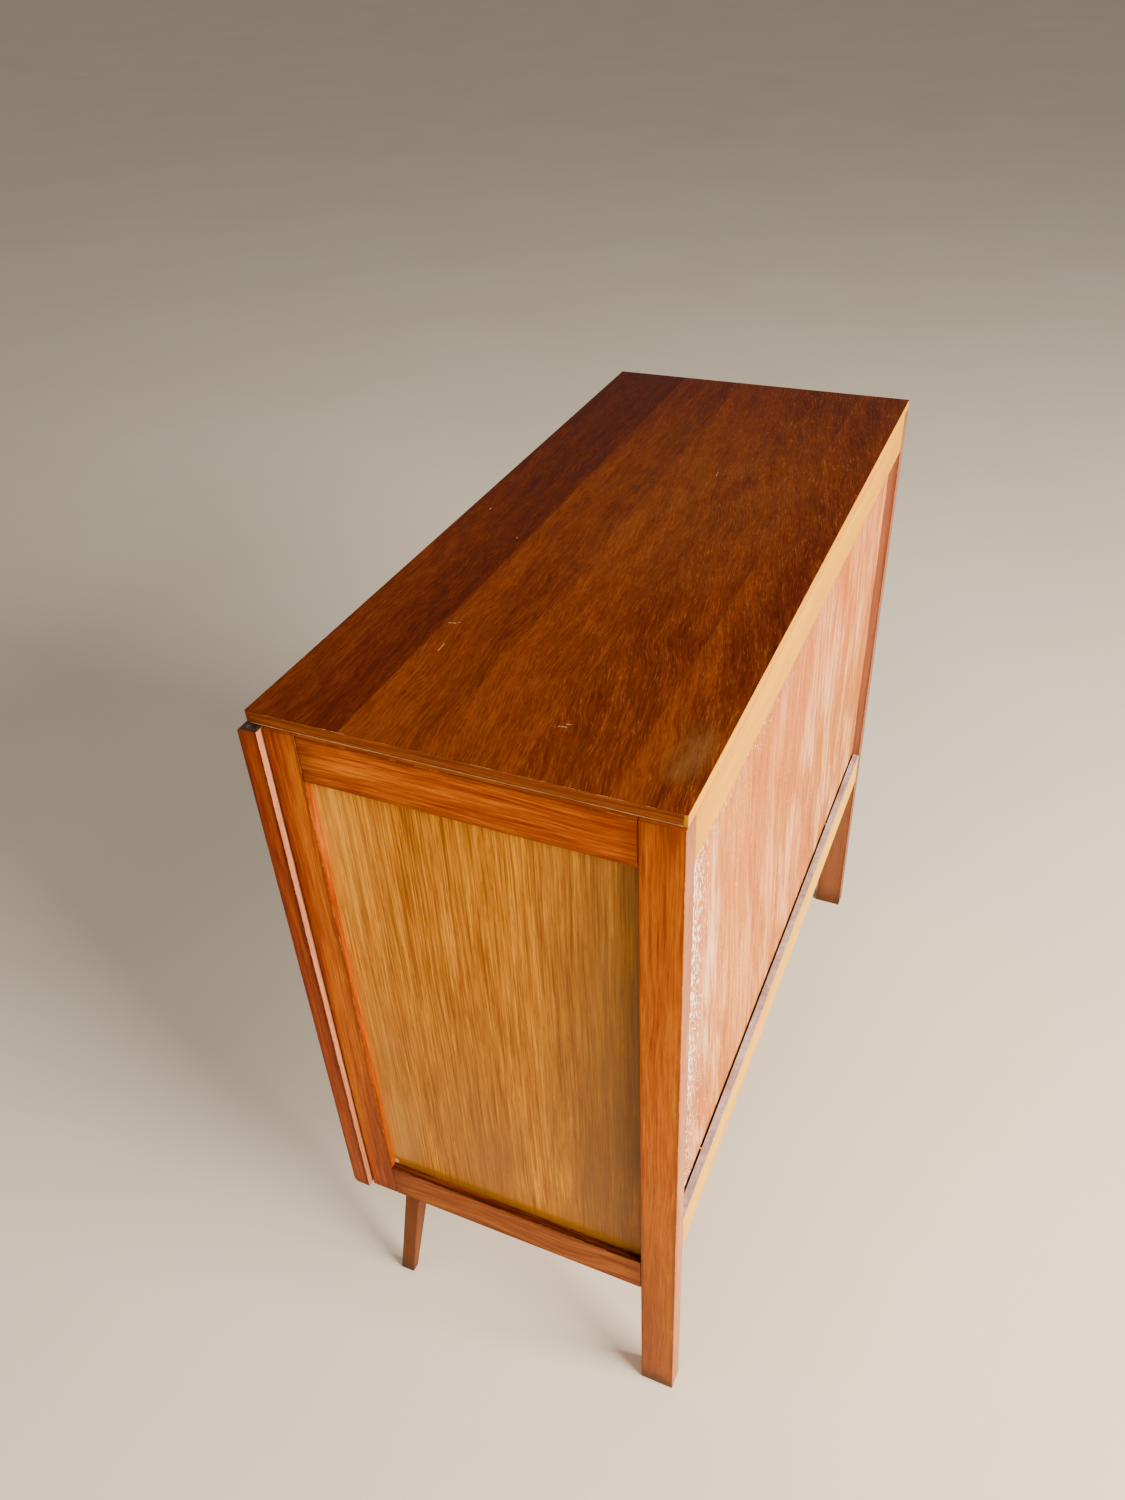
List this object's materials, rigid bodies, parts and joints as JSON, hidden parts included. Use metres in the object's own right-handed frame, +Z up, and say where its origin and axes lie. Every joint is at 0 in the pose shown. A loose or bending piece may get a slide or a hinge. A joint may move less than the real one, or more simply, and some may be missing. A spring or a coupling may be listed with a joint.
{
  "type": "sewing table",
  "caption": "Slim wooden sewing machine cabinet with a lid that folds over to the left, a front door, a machine well and splayed front legs.",
  "frame": {"origin": "on the floor, under the middle of the whole table's box with lid and door closed", "axes": "+Z up; +X towards the right end seen from the front; -Y towards the door, so +Y is the panelled back"},
  "size_m": [0.78, 0.3454, 0.762],
  "materials": {
    "top_veneer": "satin reddish-brown mahogany veneer",
    "frame_wood": "satin orange-brown stained hardwood",
    "leg_wood": "satin brown hardwood",
    "oak_panel": "satin golden oak veneer",
    "pale_wood": "pale beech",
    "hardboard": "pinkish-tan hardboard, matt and scuffed",
    "plain_ply": "plain unpolished wood",
    "brass": "dull brass",
    "steel": "plain steel"
  },
  "bodies": {
    "cabinet": {"back_bottom_rail": "pale_wood", "back_panel": "hardboard", "back_top_rail": "pale_wood", "bottom_shelf": "plain_ply", "catch_body": "steel", "door_hinge_bottom_frame_leaf": "brass", "door_hinge_bottom_pin": "steel", "door_hinge_top_frame_leaf": "brass", "door_hinge_top_pin": "steel", "flap_hinge_fixed_leaf": "brass", "flap_hinge_pin": "steel", "front_bottom_rail": "frame_wood", "front_leg_left": "leg_wood", "front_leg_right": "leg_wood", "front_top_rail": "frame_wood", "left_bottom_rail": "frame_wood", "left_front_stile": "frame_wood", "left_panel": "oak_panel", "left_rear_leg": "frame_wood", "left_top_rail": "frame_wood", "leg_block_left": "plain_ply", "leg_block_right": "plain_ply", "lid_hinge_back_fixed_leaf": "brass", "lid_hinge_back_pin": "steel", "lid_hinge_front_fixed_leaf": "brass", "lid_hinge_front_pin": "steel", "machine_hinge_left_plate": "steel", "machine_hinge_right_plate": "steel", "machine_platform": "top_veneer", "platform_cleat_back": "plain_ply", "platform_cleat_left": "plain_ply", "platform_cleat_right": "plain_ply", "right_bottom_rail": "frame_wood", "right_front_stile": "frame_wood", "right_panel": "oak_panel", "right_rear_leg": "frame_wood", "right_top_rail": "frame_wood", "shelf_batten_left": "plain_ply", "shelf_batten_right": "plain_ply"},
    "lid": {"lid_backing": "pale_wood", "lid_board": "top_veneer", "lid_hinge_back_moving_leaf": "brass", "lid_hinge_front_moving_leaf": "brass", "lid_lipping_back": "pale_wood", "lid_lipping_front": "top_veneer", "lid_lipping_left": "top_veneer", "lid_lipping_right": "top_veneer"},
    "door": {"catch_strike": "steel", "door_backing": "pale_wood", "door_board": "frame_wood", "door_hinge_bottom_door_leaf": "brass", "door_hinge_top_door_leaf": "brass", "door_lipping_left": "frame_wood", "door_lipping_right": "frame_wood", "door_tray": "plain_ply", "spool_rack": "plain_ply"},
    "flap": {"flap_hinge_moving_leaf": "brass", "front_flap": "top_veneer"},
    "left_machine_arm": {"machine_hinge_left_arm": "steel"},
    "right_machine_arm": {"machine_hinge_right_arm": "steel"}
  },
  "joints": [
    {"name": "lid_fold", "type": "hinge", "parent": "cabinet", "child": "lid", "pos_m": [-0.3875, 0.0075, 0.7565], "axis": [0, -1, 0], "range_deg": [0, 180]},
    {"name": "door_swing", "type": "hinge", "parent": "cabinet", "child": "door", "pos_m": [-0.3875, -0.15425, 0.451], "axis": [0, 0, -1], "range_deg": [0, 180]},
    {"name": "flap_drop", "type": "hinge", "parent": "cabinet", "child": "flap", "pos_m": [0.125, -0.1117, 0.7363], "axis": [-1, 0, 0], "range_deg": [0, 90]},
    {"name": "left_machine_arm_swing", "type": "hinge", "parent": "cabinet", "child": "left_machine_arm", "pos_m": [0.015, 0.1265, 0.7468], "axis": [1, 0, 0], "range_deg": [0, 90]},
    {"name": "right_machine_arm_swing", "type": "hinge", "parent": "cabinet", "child": "right_machine_arm", "pos_m": [0.235, 0.1265, 0.7468], "axis": [1, 0, 0], "range_deg": [0, 90]}
  ]
}
